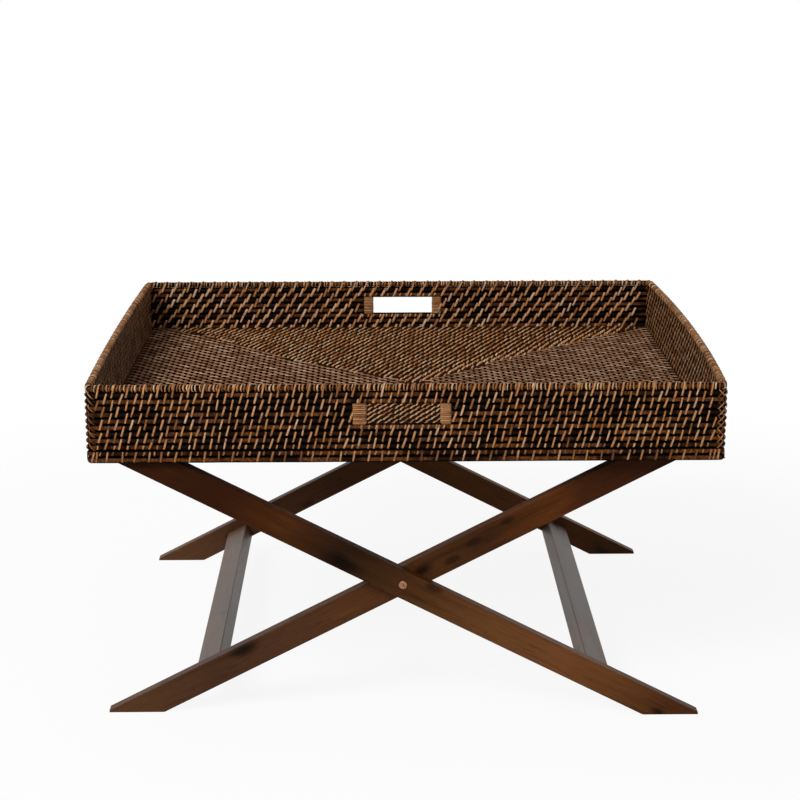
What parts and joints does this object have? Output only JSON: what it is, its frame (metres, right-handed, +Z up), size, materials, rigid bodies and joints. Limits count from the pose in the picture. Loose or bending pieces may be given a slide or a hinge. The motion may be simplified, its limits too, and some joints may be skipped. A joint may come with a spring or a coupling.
{
  "type": "rattan coffee table",
  "caption": "Low table made of a woven rattan tray with low walls and hand slots, loose on a cross-legged folding wooden stand.",
  "frame": {"origin": "on the floor, under the middle of the whole object", "axes": "+Z up, +X to the right along the long walls, +Y to the back; the picture looks along +Y"},
  "size_m": [0.9169, 0.8, 0.5019],
  "materials": {
    "stained_wood": "dark stained, satin",
    "tenon_wood": "plain",
    "panel_wood": "stained, matte",
    "rattan_rod": "dark stained rattan",
    "rim_rattan": "rattan, closely whipped",
    "floor_rattan": "woven rattan, satin",
    "rattan_binding": "split rattan, satin",
    "copper_metal": "copper-coloured, satin",
    "steel": "plain"
  },
  "bodies": {
    "outer_frame": {"outer_front_leg": "stained_wood", "outer_back_leg": "stained_wood", "outer_lower_rail": "stained_wood", "outer_upper_rail": "stained_wood", "outer_tenons": "tenon_wood", "pivot_bolts": "copper_metal", "pivot_washers": "steel", "pivot_cap_nuts": "steel"},
    "inner_frame": {"inner_front_leg": "stained_wood", "inner_back_leg": "stained_wood", "inner_lower_rail": "stained_wood", "inner_upper_rail": "stained_wood", "inner_tenons": "tenon_wood"},
    "tray": {"base_board": "panel_wood", "front_base_band": "rattan_rod", "front_wall_rods": "rattan_rod", "front_rim": "rim_rattan", "front_floor_field": "floor_rattan", "back_base_band": "rattan_rod", "back_wall_rods": "rattan_rod", "back_rim": "rim_rattan", "back_floor_field": "floor_rattan", "left_base_band": "rattan_rod", "left_wall_rods": "rattan_rod", "left_rim": "rim_rattan", "left_floor_field": "floor_rattan", "right_base_band": "rattan_rod", "right_wall_rods": "rattan_rod", "right_rim": "rim_rattan", "right_floor_field": "floor_rattan", "front_slot_bindings": "rattan_binding", "back_slot_bindings": "rattan_binding"}
  },
  "joints": [
    {"name": "stand_fold", "type": "hinge", "parent": "outer_frame", "child": "inner_frame", "pos_m": [-0.009, 0, 0.202], "axis": [0, -1, 0], "range_deg": [0, 117]},
    {"name": "tray_lift", "type": "slide", "parent": "outer_frame", "child": "tray", "axis": [0, 0, 1], "range_m": [0, 0.97]}
  ],
  "couplings": [
    {"joint": "tray_lift", "follows": "stand_fold", "m_per_rad": 0.47}
  ]
}
